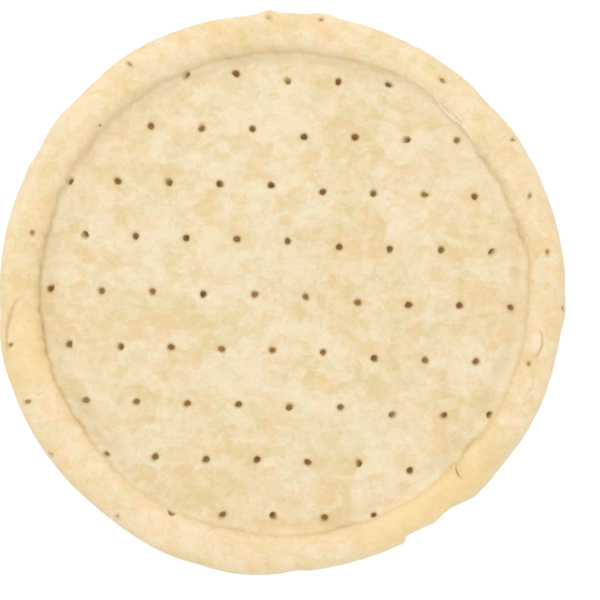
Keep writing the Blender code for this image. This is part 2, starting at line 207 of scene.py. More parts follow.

# Unevenness of the skin: size of the lumps, their depth on the base, and on the rim
LUMPS = (
    (0.0260, 0.00012, 0.00050), (0.0110, 0.00008, 0.00030), (0.0050, 0.00005, 0.00014),
    (0.0022, 0.00003, 0.00006),
)
LUMP_SHIFT = (7.3, -3.1, 1.7)       # between the noise of one size and of the next
PUFFED_STRETCHES = ((305.0, 26.0, 1.5), (192.0, 15.0, 1.3))     # where the rim is smooth
PUFFED_LOSS = 0.7           # share of the lumps' depth that is lost there
EVEN_WIDTH = 0.0050         # stretch about the widest outer line with smaller lumps
EVEN_LOSS = 0.6             # share of their depth that is lost on that line
FOOT_SHARE = 0.25           # last share of the rim's skin, over which the relief fades to the foot
UNDERSIDE_RIPPLE = 0.00012
UNDERSIDE_RIPPLE_SIZE = 0.02
UNDERSIDE_RIPPLE_FADE = 0.006

# Mesh fineness
SECTION_STEPS = 600         # steps in which the rim's section is measured
PLAIN_ANGLE = 60.0          # where it is, away from bites and blisters
NORMAL_STEP = 0.0001        # from a place to the points that its normal is worked out from
BASE_SPACING = 0.00128
RIM_SPACING = 0.00100
RIM_COLUMNS = 860
CREASE_OFFSETS = (-0.0020, -0.0012, -0.0006, -0.0002, 0.0, 0.0002, 0.0006, 0.0012, 0.0020)
LINE_STEP = 0.0005          # spacing of the points along a line on the skin
LINE_STEPS = 24             # steps between two of the line's stated places
STRIP_REACH = 1.6           # half widths of a line over which the points are as fine
ROW_SPACING = 0.9           # of rows of points, over the spacing within a row
STRIP_GAP = 0.0004          # least distance from a line's points to a hole's
BACKGROUND_GAP = 0.0006     # least distance from the evenly spaced points to finer ones
FOOT_RINGS = ((0.0016, 0.55), (0.0045, 0.28))  # inset, points as a share of the foot's
UNDERSIDE_SPACING = 0.0040
HOLE_SIDES = 20
SLENDER_SHARE = 0.5         # a hole narrower than this share of its length is slender
LIP_RINGS = ((1.0, 0.46), (1.14, 0.33), (1.38, 0.16), (1.75, 0.0))  # share of the radius, painted shade
LIP_REACH = LIP_RINGS[-1][0]
LIP_DEPTH = 0.00030
WALL_RINGS = ((0.06, 0.93), (0.20, 0.81), (0.50, 0.66), (0.85, 0.50), (1.0, 0.30))  # depth, radius
WALL_SHADE = 0.3            # painted shade of a hole's wall at the top, to which its share of depth adds
FLOOR_SHADE = 2.0
FLOOR_SINK = 1.02
SEED = 5


def eased(share):
    """Smooth step from 0 to 1."""
    share = np.clip(share, 0.0, 1.0)
    return share * share * (3.0 - 2.0 * share)


def swell_at(angle, swells):
    """Sum at each angle of smooth swells, each of them zero beyond its half width."""
    total = np.zeros_like(angle)
    for centre, half_width, height in swells:
        offset = np.abs((angle - centre + 180.0) % 360.0 - 180.0)
        rise = height * 0.5 * (1.0 + np.cos(np.pi * offset / half_width))
        total += np.where(offset < half_width, rise, 0.0)
    return total


def bite_at(angle):
    """Depth of the bites: each drops in over a short edge and fades out along its length."""
    depth = np.zeros_like(angle)
    for start, end, full_depth, edge in RIM_BITES:
        along = (angle % 360.0 - start) / (end - start)
        bite = full_depth * eased((angle % 360.0 - start) / edge) * (1.0 - along ** 2)
        depth += np.where((along > 0.0) & (along < 1.0), bite, 0.0)
    return depth


def wander_at(angle, wanders):
    """Sum of small waves round the crust."""
    around = np.radians(angle)
    return sum(height * np.sin(waves * around + phase) for waves, height, phase in wanders)


def round_radius(angle):
    return OUTLINE_RADIUS + swell_at(angle, OUTLINE_SWELLS) + wander_at(angle, OUTLINE_WANDERS)


def outline_radius(angle):
    return round_radius(angle) - bite_at(angle)


def crease_radius(angle):
    ragged = np.minimum(swell_at(angle, RAGGED_STRETCHES), 1.0)
    wander = wander_at(angle, CREASE_WANDERS) * (CALM_SHARE + (1.0 - CALM_SHARE) * ragged)
    return CREASE_RADIUS + swell_at(angle, CREASE_SWELLS) + wander


def flattened(value):
    """Power that squares an ellipse's sine or cosine out into the rim's fuller section."""
    return np.copysign(np.abs(value) ** (2.0 / RIM_FLATNESS), value)


def crease_turn():
    """Turn at which the rim's inner side comes down to the crease."""
    share = (RIM_LINE_HEIGHT - CREASE_HEIGHT) / RIM_LINE_HEIGHT
    return -math.degrees(math.asin(share ** (RIM_FLATNESS / 2.0)))


def turn_at(angle, radius):
    """Turn of the rim's upper side at a radius."""
    inner = crease_radius(angle)
    outer = round_radius(angle)
    out = np.clip(2.0 * (radius - inner) / (outer - inner) - 1.0, -1.0, 1.0)
    return np.degrees(np.arccos(-np.copysign(np.abs(out) ** (RIM_FLATNESS / 2.0), out)))


def rim_section(angle, turn):
    """Radius and height of the rim's section."""
    out = -np.cos(np.radians(turn))
    up = np.sin(np.radians(turn))
    inner = crease_radius(angle)
    outer = round_radius(angle)
    top = RIM_HEIGHT + swell_at(angle, HEIGHT_SWELLS)
    half_height = np.where(up > 0.0, top - RIM_LINE_HEIGHT, RIM_LINE_HEIGHT)
    share = (1.0 + flattened(out)) / 2.0
    radius = inner + (outer - inner) * share - bite_at(angle) * share ** BITE_FADE
    height = RIM_LINE_HEIGHT + half_height * flattened(up)
    first, last = OVERHANG_TURNS
    lean = np.sin(np.pi * np.clip((turn - first) / (last - first), 0.0, 1.0)) ** 2
    radius -= swell_at(angle, OVERHANGS) * lean
    tucked = turn > 180.0
    radius = np.where(tucked, outline_radius(angle) - RIM_TUCK * (1.0 - out), radius)
    height = np.where(tucked, RIM_LINE_HEIGHT * (1.0 + up), height)
    return radius, height


def base_height(angle, radius):
    """Height of the base: nearly flat, a little uneven, and falling to the crease."""
    slope = eased((crease_radius(angle) - radius) / CREASE_SLOPE_WIDTH)
    around = RIPPLE_WAVES * np.radians(angle) + RIPPLE_TWIST * radius
    ripple = np.sin(around) * np.sin(RIPPLE_RATE * radius)
    return CREASE_HEIGHT + (BASE_HEIGHT + BASE_RIPPLE * ripple - CREASE_HEIGHT) * slope


def section_lengths():
    """Turns along a plain stretch of the rim's section, and how far each is from the crease."""
    turns = np.linspace(crease_turn(), 270.0, SECTION_STEPS)
    angle = np.full_like(turns, PLAIN_ANGLE)
    radius, height = rim_section(angle, turns)
    steps = np.hypot(np.diff(radius), np.diff(height))
    return turns, np.concatenate(([0.0], np.cumsum(steps)))


SECTION_TURNS, SECTION_LENGTHS = section_lengths()
SKIN_RADIUS = CREASE_RADIUS + SECTION_LENGTHS[-1]


# The skin laid out flat is a disc. A point of it is a complex number. Its angle is the angle on the
# crust, and its length is the distance along the skin from the middle, over the crease to the foot.
def sharp_section(angle, reach):
    """Radius and height of the smooth crust, with its crease sharp, at a length along the skin."""
    base_radius = reach / CREASE_RADIUS * crease_radius(angle)
    along = np.maximum(reach - CREASE_RADIUS, 0.0)
    rim = rim_section(angle, np.interp(along, SECTION_LENGTHS, SECTION_TURNS))
    return np.where(reach > CREASE_RADIUS, rim, (base_radius, base_height(angle, base_radius)))


def sharpness(angle):
    return np.minimum(swell_at(angle, SHARP_STRETCHES), 1.0)


def skin(place):
    """Points of the smooth crust for places on the flat skin."""
    angle = np.degrees(np.angle(place)) % 360.0
    reach = np.abs(place)
    rounded = FILLET_REACH + swell_at(angle, FILLET_SWELLS)
    start, corner, end = (sharp_section(angle, CREASE_RADIUS + side * rounded) for side in (-1, 0, 1))
    share = np.clip((reach - CREASE_RADIUS + rounded) / (2.0 * rounded), 0.0, 1.0)
    fillet = (1.0 - share) ** 2 * start + 2.0 * share * (1.0 - share) * corner + share ** 2 * end
    rounding = np.where((share > 0.0) & (share < 1.0), 1.0 - SHARPEST * sharpness(angle), 0.0)
    sharp = sharp_section(angle, reach)
    radius, height = sharp + (fillet - sharp) * rounding
    around = np.radians(angle)
    return np.stack((radius * np.cos(around), radius * np.sin(around), height), axis=-1)


def skin_normals(place):
    """Outward normals there."""
    reach = np.maximum(np.abs(place), NORMAL_STEP)
    step = np.where(np.abs(place) > NORMAL_STEP, place / reach, 1.0) * NORMAL_STEP
    outwards = skin(place + step) - skin(place - step)
    sideways = skin(place + 1j * step) - skin(place - 1j * step)
    normal = np.cross(outwards, sideways)
    return normal / np.linalg.norm(normal, axis=-1, keepdims=True)


def on_skin(angle, radius):
    """Place on the flat skin of a point seen from above."""
    angle = np.asarray(angle, float)
    radius = np.asarray(radius, float)
    crease = crease_radius(angle)
    along = np.interp(turn_at(angle, radius), SECTION_TURNS, SECTION_LENGTHS)
    reach = np.where(radius > crease, CREASE_RADIUS + along, radius / crease * CREASE_RADIUS)
    return reach * np.exp(1j * np.radians(angle))


def smooth_path(points, step):
    """Points at even steps along a smooth curve through places on the flat skin."""
    padded = np.concatenate(([2 * points[0] - points[1]], points, [2 * points[-1] - points[-2]]))
    fine = []
    share = np.linspace(0.0, 1.0, LINE_STEPS, endpoint=False)
    for a, b, c, d in zip(padded, padded[1:], padded[2:], padded[3:]):
        fine.append(0.5 * (2 * b + (c - a) * share + (2 * a - 5 * b + 4 * c - d) * share ** 2
                           + (3 * b - a - 3 * c + d) * share ** 3))
    fine = np.concatenate(fine + [points[-1:]])
    lengths = np.concatenate(([0.0], np.cumsum(np.abs(np.diff(fine)))))
    even = np.linspace(0.0, lengths[-1], max(3, round(lengths[-1] / step)))
    return np.interp(even, lengths, fine.real) + 1j * np.interp(even, lengths, fine.imag)


def line_paths():
    for points, depth, half_width, ridge, ridge_distance in LINES:
        angles, radii = zip(*points)
        path = smooth_path(on_skin(angles, radii), LINE_STEP)
        yield path, depth, half_width, ridge, ridge_distance


def line_relief(place):
    """Grooves and ridges along the lines, fading out at their ends."""
    relief = np.zeros(len(place))
    for path, depth, half_width, ridge, ridge_distance in line_paths():
        reach = LINE_REACH * half_width + abs(ridge_distance)
        middle = path[len(path) // 2]
        near = np.flatnonzero(np.abs(place - middle) < reach + np.abs(path - middle).max())
        gaps = place[near][:, None] - path[None, :]
        nearest = np.abs(gaps).argmin(axis=1)
        gap = gaps[np.arange(len(near)), nearest]
        heading = np.gradient(path)[nearest]
        side = np.sign((gap / heading).imag) * np.abs(gap)
        end = np.sin(np.pi * (nearest + 0.5) / len(path)) ** 0.5
        from_ridge = (side - ridge_distance) / (RIDGE_WIDTH * half_width)
        relief[near] -= depth * end * np.exp(-(side / half_width) ** 2)
        relief[near] += ridge * end * np.exp(-from_ridge ** 2)
    return relief


def blister_relief(angle, radius):
    relief = np.zeros_like(angle)
    for centre, middle, half_length, half_width, height in BLISTERS:
        along = np.radians((angle - centre + 180.0) % 360.0 - 180.0) * middle / half_length
        across = (radius - middle) / half_width
        inside = np.maximum(0.0, 1.0 - along ** 2 - across ** 2)
        relief += height * inside ** 2
    return relief


def patch_shade(place):
    """How tan, or pale when negative, the skin is where it has a clear patch, with uneven edges."""
    shade = np.zeros(len(place))
    for angle, radius, half_length, half_width, strength in PATCHES:
        middle = complex(on_skin(angle, radius))
        offset = (place - middle) / (middle / abs(middle))
        bearing = np.angle(offset)
        wobble = sum(height * np.sin(lobes * bearing + turn * angle)
                     for lobes, height, turn in PATCH_WOBBLES)
        distance = np.hypot(offset.imag / half_length, offset.real / half_width) * (1.0 + wobble)
        shade += strength * eased((1.0 - distance) / PATCH_FADE)
    return shade


def lump_relief(points, rim, smooth):
    """Unevenness at several sizes, stronger on the rim."""
    relief = np.zeros(len(points))
    for layer, (size, base_depth, rim_depth) in enumerate(LUMPS):
        shift = Vector([layer * step for step in LUMP_SHIFT])
        wave = np.array([noise.noise(Vector(point) / size + shift) for point in points.tolist()])
        depth = base_depth + (rim_depth * (1.0 - PUFFED_LOSS * smooth) - base_depth) * rim
        relief += wave * depth
    return relief


def dragged_radius(angle, radius):
    """Radius of a hole after the rim was rolled."""
    crease = crease_radius(angle)
    share = (radius - crease) / (round_radius(angle) - crease)
    for middle, half_width, drag in HOLE_DRAGS:
        offset = abs(share - middle)
        if offset < half_width:
            radius += drag * 0.5 * (1.0 + math.cos(math.pi * offset / half_width))
    return radius


def hole_places():
    """Angle and radius of every docking hole, with its column and row."""
    for row in HOLE_ROWS:
        for column in HOLE_COLUMNS:
            seam = 1 if column >= SEAM_COLUMN else 0
            wander = JITTER_TURNS[0] * column + JITTER_TURNS[1] * row
            x = HOLE_ORIGIN[0] + column * COLUMN_STEP[0] + row * ROW_STEP[0] + seam * SEAM_STEP[0]
            y = HOLE_ORIGIN[1] + column * COLUMN_STEP[1] + row * ROW_STEP[1] + seam * SEAM_STEP[1]
            x += HOLE_JITTER * math.sin(wander)
            y += HOLE_JITTER * math.cos(JITTER_SKEW * wander)
            angle = np.array(math.degrees(math.atan2(y, x)) % 360.0)
            radius = math.hypot(x, y)
            if radius < HOLE_MARGIN * outline_radius(angle):
                radius = dragged_radius(angle, radius)
                if (column, row) == SLIT_HOLE:
                    angle += SLIT_SHIFT[0]
                    radius += SLIT_SHIFT[1]
                yield angle, radius, (column, row)


class Hole:
    """A docking hole: its place, the outline of its mouth on the skin, and how it goes down."""

    FLANK_WIDTH = 0.0040        # a hole this close outside the crease is as wide as one on the base
    WOBBLES = ((2, 0.05), (3, 0.04))    # lobes of the mouth's outline, and their height as a share
    WOBBLE_PHASES = (0, 6)
    # Ranges of a hole's length and width, over its radius, of its depth, over RIM_HOLE_DEPTH, and of
    # its painted shade. The slit and the closed hole have their own.
    RIM_MOUTH = ((1.0, 1.3), (0.7, 1.0))
    RIM_DEPTH = (0.2, 0.4)
    RIM_DARKNESS = (0.35, 0.75)
    BASE_MOUTH = ((1.04, 1.2), (0.96, 1.12))
    BASE_DARKNESS = (0.5, 1.05)
    SLIT_DEPTH = 0.14
    SLIT_DARKNESS = 0.6
    CLOSED_DEPTH = 0.4
    CLOSED_DARKNESS = 0.75
    MOST_LEAN = 0.75            # the steepest slope of a hole's lean
    LEAN_RARITY = 4             # the higher this power, the fewer holes lean much

    def __init__(self, angle, radius, cell, draw):
        crease = crease_radius(angle)
        self.on_rim = radius > crease + CREASE_OVERLAP
        if not self.on_rim:
            radius = min(radius, crease - CREASE_CLEARANCE)
        self.centre = complex(on_skin(angle, radius))
        around = np.arange(HOLE_SIDES) * 2.0 * np.pi / HOLE_SIDES
        waves = (height * np.sin(lobes * around + draw.uniform(*self.WOBBLE_PHASES))
                 for lobes, height in self.WOBBLES)
        mouth = np.exp(1j * around) * sum(waves, 1.0)
        if cell == CLOSED_HOLE:
            mouth = mouth * RIM_HOLE_RADIUS * CLOSED_SHARE
            turn = 0.0
            self.depth = self.CLOSED_DEPTH * RIM_HOLE_DEPTH * CLOSED_SHARE
            self.painted_shade = self.CLOSED_DARKNESS
        elif cell == SLIT_HOLE:
            mouth = mouth.real * SLIT_LENGTH + 1j * mouth.imag * SLIT_WIDTH
            mouth = mouth * RIM_HOLE_RADIUS
            mouth += 1j * SLIT_BOW * mouth.real ** 2
            turn = math.radians(float(angle) + SLIT_LEAN)
            self.depth = self.SLIT_DEPTH * RIM_HOLE_DEPTH
            self.painted_shade = self.SLIT_DARKNESS
        elif self.on_rim and radius > crease + self.FLANK_WIDTH:
            length, width = (draw.uniform(*span) for span in self.RIM_MOUTH)
            mouth = (mouth.real * length + 1j * mouth.imag * width) * RIM_HOLE_RADIUS
            turn = draw.uniform(0.0, math.pi)
            self.depth = RIM_HOLE_DEPTH * draw.uniform(*self.RIM_DEPTH)
            self.painted_shade = draw.uniform(*self.RIM_DARKNESS)
        else:
            length, width = (draw.uniform(*span) for span in self.BASE_MOUTH)
            mouth = (mouth.real * length + 1j * mouth.imag * width) * HOLE_RADIUS
            turn = draw.uniform(0.0, math.pi)
            floor = float(base_height(angle, np.array(float(radius)))) - HOLE_FLOOR
            self.depth = RIM_HOLE_DEPTH if self.on_rim else floor
            self.painted_shade = draw.uniform(*self.BASE_DARKNESS)
        self.mouth = mouth * np.exp(1j * turn)
        lean = self.MOST_LEAN * draw.random() ** self.LEAN_RARITY
        self.lean = lean * np.exp(2j * np.pi * draw.random())

    def ring(self, share):
        return self.centre + self.mouth * share

    def axis(self):
        """Direction in which the hole goes down."""
        up = skin_normals(np.array([self.centre]))[0] if self.on_rim else np.array((0.0, 0.0, 1.0))
        leaning = up + np.array((self.lean.real, self.lean.imag, 0.0))
        return -leaning / np.linalg.norm(leaning)


def make_holes():
    draw = random.Random(SEED)
    return [Hole(angle, radius, cell, draw) for angle, radius, cell in hole_places()]


def lip_relief(place, holes):
    """The skin's dip into each hole."""
    relief = np.zeros(len(place))
    for hole in holes:
        size = np.abs(hole.mouth)
        near = np.flatnonzero(np.abs(place - hole.centre) < LIP_REACH * size.max())
        offset = place[near] - hole.centre
        bearing = np.angle(offset / hole.mouth[0]) % (2.0 * np.pi)
        edges = np.angle(hole.mouth / hole.mouth[0]) % (2.0 * np.pi)
        order = edges.argsort()
        rim = np.interp(bearing, edges[order], size[order], period=2.0 * np.pi)
        share = (np.abs(offset) / rim - 1.0) / (LIP_REACH - 1.0)
        relief[near] -= LIP_DEPTH * (1.0 - eased(share))
    return relief


def background_places():
    """Rings of evenly spaced places over the whole flat skin, and the last of them, at the foot."""
    rings = []
    reach = BASE_SPACING
    while reach < CREASE_RADIUS - 2.0 * CREASE_OFFSETS[-1]:
        rings.append((reach, round(2.0 * math.pi * reach / BASE_SPACING)))
        reach += BASE_SPACING * ROW_SPACING
    rings += [(CREASE_RADIUS + offset, RIM_COLUMNS) for offset in CREASE_OFFSETS]
    first = CREASE_RADIUS + CREASE_OFFSETS[-1]
    steps = round((SKIN_RADIUS - first) / RIM_SPACING)
    rings += [(first + (SKIN_RADIUS - first) * (i + 1) / steps, RIM_COLUMNS) for i in range(steps)]
    places = [np.zeros(1, complex)]
    for i, (reach, count) in enumerate(rings):
        around = (np.arange(count) + 0.5 * (i % 2)) * 2.0 * np.pi / count
        places.append(reach * np.exp(1j * around))
    return np.concatenate(places[:-1]), places[-1]


def clear_of(places, taken, distance):
    """The places that are farther than a distance from every taken one."""
    middle = taken.mean()
    near = np.flatnonzero(np.abs(places - middle) < np.abs(taken - middle).max() + distance)
    gaps = np.abs(places[near][:, None] - taken[None, :]).min(axis=1)
    keep = np.ones(len(places), bool)
    keep[near[gaps < distance]] = False
    return places[keep]


def clear_of_holes(places, holes, distance):
    """The places outside a round about every hole's lip, and clear of its edge."""
    for hole in holes:
        size = np.abs(hole.mouth)
        slender = size.min() < SLENDER_SHARE * size.max()
        reach = LIP_REACH * (size[0] if slender else size.max())
        outside = np.abs(places - hole.centre) >= reach
        places = clear_of(places[outside], hole.ring(LIP_REACH), distance)
    return places


def line_strip(path, half_width, ridge_distance):
    """Fine places along a line and to both sides of it."""
    heading = np.gradient(path)
    heading /= np.abs(heading)
    reach = STRIP_REACH * half_width + abs(ridge_distance)
    offsets = np.arange(-reach, reach + LINE_STEP / 2.0, LINE_STEP * ROW_SPACING)
    return (path[None, :] + 1j * offsets[:, None] * heading[None, :]).ravel()


def triangulate(places, edges=()):
    """Triangles between places on a plane, counter-clockwise."""
    points = [Vector((place.real, place.imag)) for place in places]
    _, _, faces, origins, _, _ = delaunay_2d_cdt(points, list(edges), [], 0, 1e-9)
    source = np.array([origin[0] for origin in origins])
    faces = source[np.array(faces)]
    a, b, c = (places[faces[:, i]] for i in range(3))
    flip = ((b - a).conj() * (c - a)).imag < 0.0
    faces[flip] = faces[flip][:, ::-1]
    return faces


class Surface:
    """A mesh gathered piece by piece, with named values kept at its points for the material."""

    def __init__(self, *names):
        self.points = []
        self.faces = []
        self.values = {name: [] for name in names}
        self.count = 0

    def add_points(self, points, **values):
        """Adds points and returns their numbers. A value that isn't given is 0."""
        for name, kept in self.values.items():
            kept.append(np.broadcast_to(np.asarray(values.get(name, 0.0), float), len(points)))
        self.points.append(points)
        self.count += len(points)
        return np.arange(self.count - len(points), self.count)

    def add_faces(self, faces):
        self.faces.append(faces)

    def join_rings(self, ring, next_ring):
        after = np.roll(ring, -1)
        next_after = np.roll(next_ring, -1)
        self.add_faces(np.stack((ring, after, next_after), axis=-1))
        self.add_faces(np.stack((ring, next_after, next_ring), axis=-1))

    def close_ring(self, ring, tip):
        self.add_faces(np.stack((ring, np.roll(ring, -1), np.full(len(ring), tip)), axis=-1))

    def make_object(self, name, mesh_name, box):
        mesh = bpy.data.meshes.new(mesh_name)
        points = fitted(np.concatenate(self.points), box)
        mesh.from_pydata(points.tolist(), [], np.concatenate(self.faces).tolist())
        mesh.shade_smooth()
        for value_name, kept in self.values.items():
            attribute = mesh.attributes.new(value_name, "FLOAT", "POINT")
            attribute.data.foreach_set("value", np.concatenate(kept).astype(np.float32))
        made = bpy.data.objects.new(name, mesh)
        bpy.context.scene.collection.objects.link(made)
        return made


def fitted(points, box):
    """Points moved and scaled to fill a box exactly."""
    low, high = (np.array(corner) for corner in box)
    own_low = points.min(axis=0)
    own_high = points.max(axis=0)
    return low + (points - own_low) * (high - low) / (own_high - own_low)


def add_skin(surface, holes):
    """The top and sides, open at the holes; returns the foot's ring and the ring round each hole."""
    background, foot = background_places()
    strips = []
    for path, _, half_width, _, ridge_distance in line_paths():
        strip = clear_of_holes(line_strip(path, half_width, ridge_distance), holes, STRIP_GAP)
        background = clear_of(background, strip, BACKGROUND_GAP)
        strips.append(strip)
    background = clear_of_holes(background, holes, BACKGROUND_GAP)
    lips = [hole.ring(share) for hole in holes for share, _ in LIP_RINGS]
    places = np.concatenate([foot, background] + strips + lips)

    first_lip = len(places) - len(lips) * HOLE_SIDES
    mouths = [first_lip + i * len(LIP_RINGS) * HOLE_SIDES + np.arange(HOLE_SIDES)
              for i in range(len(holes))]
    edges = [edge for mouth in mouths for edge in zip(mouth.tolist(), np.roll(mouth, -1).tolist())]
    owner = np.full(len(places), -1)
    for i, mouth in enumerate(mouths):
        owner[mouth] = i
    faces = triangulate(places, edges)
    corners = owner[faces]
    over_mouth = (corners[:, 0] >= 0) & (corners == corners[:, :1]).all(axis=1)

    # painted shade on the lip round each hole's mouth
    hollow = np.zeros(len(places))
    painted_shade = np.repeat([dark for _, dark in LIP_RINGS], HOLE_SIDES)
    hollow[first_lip:] = np.tile(painted_shade, len(holes))
    points, values = shaped_skin(places, holes)
    surface.add_points(points, hollow=hollow, **values)
    surface.add_faces(faces[~over_mouth])
    return np.arange(len(foot)), mouths


def shaped_skin(places, holes):
    """Points of the uneven skin, and the values that its material shows."""
    angle = np.degrees(np.angle(places)) % 360.0
    beyond_crease = np.abs(places) - CREASE_RADIUS
    rim = eased(beyond_crease / RIM_COLOUR_FADE)
    smooth = np.clip(swell_at(angle, PUFFED_STRETCHES), 0.0, 1.0) * rim
    along_rim = beyond_crease / (SKIN_RADIUS - CREASE_RADIUS)
    free = 1.0 - eased((along_rim - (1.0 - FOOT_SHARE)) / FOOT_SHARE)

    at_outline = np.interp(180.0, SECTION_TURNS, SECTION_LENGTHS)
    even = EVEN_LOSS * np.exp(-((beyond_crease - at_outline) / EVEN_WIDTH) ** 2)

    points = skin(places)
    radius = np.hypot(points[:, 0], points[:, 1])
    lines = line_relief(places)
    relief = lines + lip_relief(places, holes)
    relief += lump_relief(points, rim, smooth) * free * (1.0 - even)
    relief += blister_relief(angle, radius) * rim * free
    points = points + skin_normals(places) * relief[:, None]

    # painted shadow line along the sharp crease
    line = np.exp(-(beyond_crease / CREASE_SHADOW_WIDTH) ** 2) * sharpness(angle)
    # painted fill light that pales the skin towards the crease
    fill_light_width = np.where(beyond_crease < 0.0, *FILL_LIGHT_WIDTHS)
    corner = np.exp(-(beyond_crease / fill_light_width) ** 2) * swell_at(angle, CREASE_FILL_LIGHT)
    # painted shade band on the base beside the crease
    shade_band = np.exp(-((beyond_crease + SHADE_BAND_INSET) / SHADE_BAND_WIDTH) ** 2) * swell_at(angle, CREASE_SHADE_BANDS)
    # paler floury dough and painted light on the rim's outer side
    side = eased((beyond_crease - at_outline) / SIDE_WIDTH + 1.0) * swell_at(angle, PALE_AND_LIT_SIDES)
    # the lines' relief also carries a painted highlight on ridges and painted shade in grooves
    return points, {"rim": rim, "smooth": smooth, "crest_light_and_shade": lines / CREST_HEIGHT, "line": line,
                    "corner": corner, "shade_band": shade_band, "side": side, "patch": patch_shade(places)}


def add_hole(surface, hole, mouth):
    """Wall and floor of a hole, down from the ring round its mouth, with painted shade that deepens
    down them.
    """
    edge = surface.points[0][mouth]
    centre = edge.mean(axis=0)
    down = hole.axis() * hole.depth
    ring = mouth
    for depth, share in WALL_RINGS:
        wall = surface.add_points(centre + down * depth + (edge - centre) * share,
                                  hollow=(WALL_SHADE + depth) * hole.painted_shade)
        surface.join_rings(ring, wall)
        ring = wall
    floor = surface.add_points((centre + down * FLOOR_SINK)[None, :],
                               hollow=FLOOR_SHADE * hole.painted_shade)
    surface.close_ring(ring, floor[0])


def add_underside(surface, foot):
    """The flat underside, within the foot's ring."""
    foot_places = surface.points[0][foot, 0] + 1j * surface.points[0][foot, 1]
    bearing = np.angle(foot_places) % (2.0 * np.pi)
    places = [foot_places]
    for inset, share in FOOT_RINGS:
        count = round(len(foot) * share)
        around = np.arange(count) * 2.0 * np.pi / count
        edge = np.interp(around, bearing, np.abs(foot_places), period=2.0 * np.pi)
        places.append((edge - inset) * np.exp(1j * around))
    reach = np.abs(foot_places).min() - FOOT_RINGS[-1][0] - UNDERSIDE_SPACING
    while reach > UNDERSIDE_SPACING:
        count = round(2.0 * math.pi * reach / UNDERSIDE_SPACING)
        around = (np.arange(count) + reach) * 2.0 * np.pi / count
        places.append(reach * np.exp(1j * around))
        reach -= UNDERSIDE_SPACING
    places = np.concatenate(places)
    inner = places[len(foot):]
    points = np.stack((inner.real, inner.imag, np.zeros(len(inner))), axis=-1)
    ripple = np.array([noise.noise(Vector(point) / UNDERSIDE_RIPPLE_SIZE)
                       for point in points.tolist()])
    inset = np.abs(foot_places).min() - np.abs(inner)
    points[:, 2] = UNDERSIDE_RIPPLE * (1.0 + ripple) * eased(inset / UNDERSIDE_RIPPLE_FADE)
    numbers = np.concatenate((foot, surface.add_points(points)))
    surface.add_faces(numbers[triangulate(places)[:, ::-1]])


def make_crust():
    """The whole crust as one closed mesh that fills its solid's box."""
    holes = make_holes()
    surface = Surface("rim", "smooth", "crest_light_and_shade", "line", "corner", "shade_band", "side", "patch", "hollow")
    foot, mouths = add_skin(surface, holes)
    for hole, mouth in zip(holes, mouths):
        add_hole(surface, hole, mouth)
    add_underside(surface, foot)
    return surface.make_object("crust_skin", "baked_dough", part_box("crust"))


def colour(red, green, blue):
    """A colour given as 0 to 255 on a screen, as the shader takes it."""
    shares = (red / 255.0, green / 255.0, blue / 255.0)
    linear = [s / 12.92 if s <= 0.04045 else ((s + 0.055) / 1.055) ** 2.4 for s in shares]
    return (*linear, 1.0)


